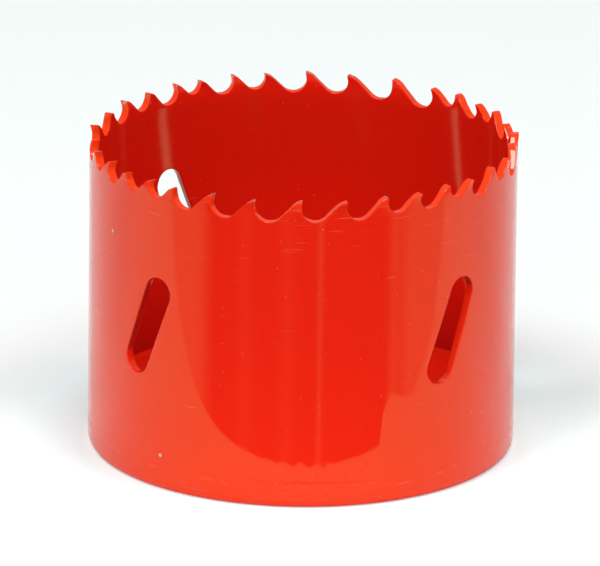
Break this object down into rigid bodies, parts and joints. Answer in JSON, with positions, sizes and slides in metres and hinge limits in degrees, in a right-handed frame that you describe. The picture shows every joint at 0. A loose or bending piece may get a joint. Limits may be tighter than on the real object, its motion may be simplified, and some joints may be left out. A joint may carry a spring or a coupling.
{
  "type": "hole saw",
  "caption": "Cup-shaped bi-metal hole saw with a toothed rim, slanted chip slots in its wall and a threaded end plate.",
  "frame": {"origin": "on the saw's axis, at the end plate's outer face, which it stands on", "axes": "+Z along the saw's axis towards the teeth; +Y away from the camera, so the side in the picture faces -Y"},
  "size_m": [0.0565, 0.0565, 0.0419],
  "materials": {
    "plate_paint": "gloss red paint on steel",
    "body_paint": "gloss red paint on spring steel, lightly scuffed",
    "edge_paint": "gloss red paint on high-speed steel, chipped to bare metal at the tips"
  },
  "bodies": {
    "root": {"end_plate": "plate_paint", "saw_body": "body_paint", "cutting_edge": "edge_paint"}
  },
  "joints": []
}
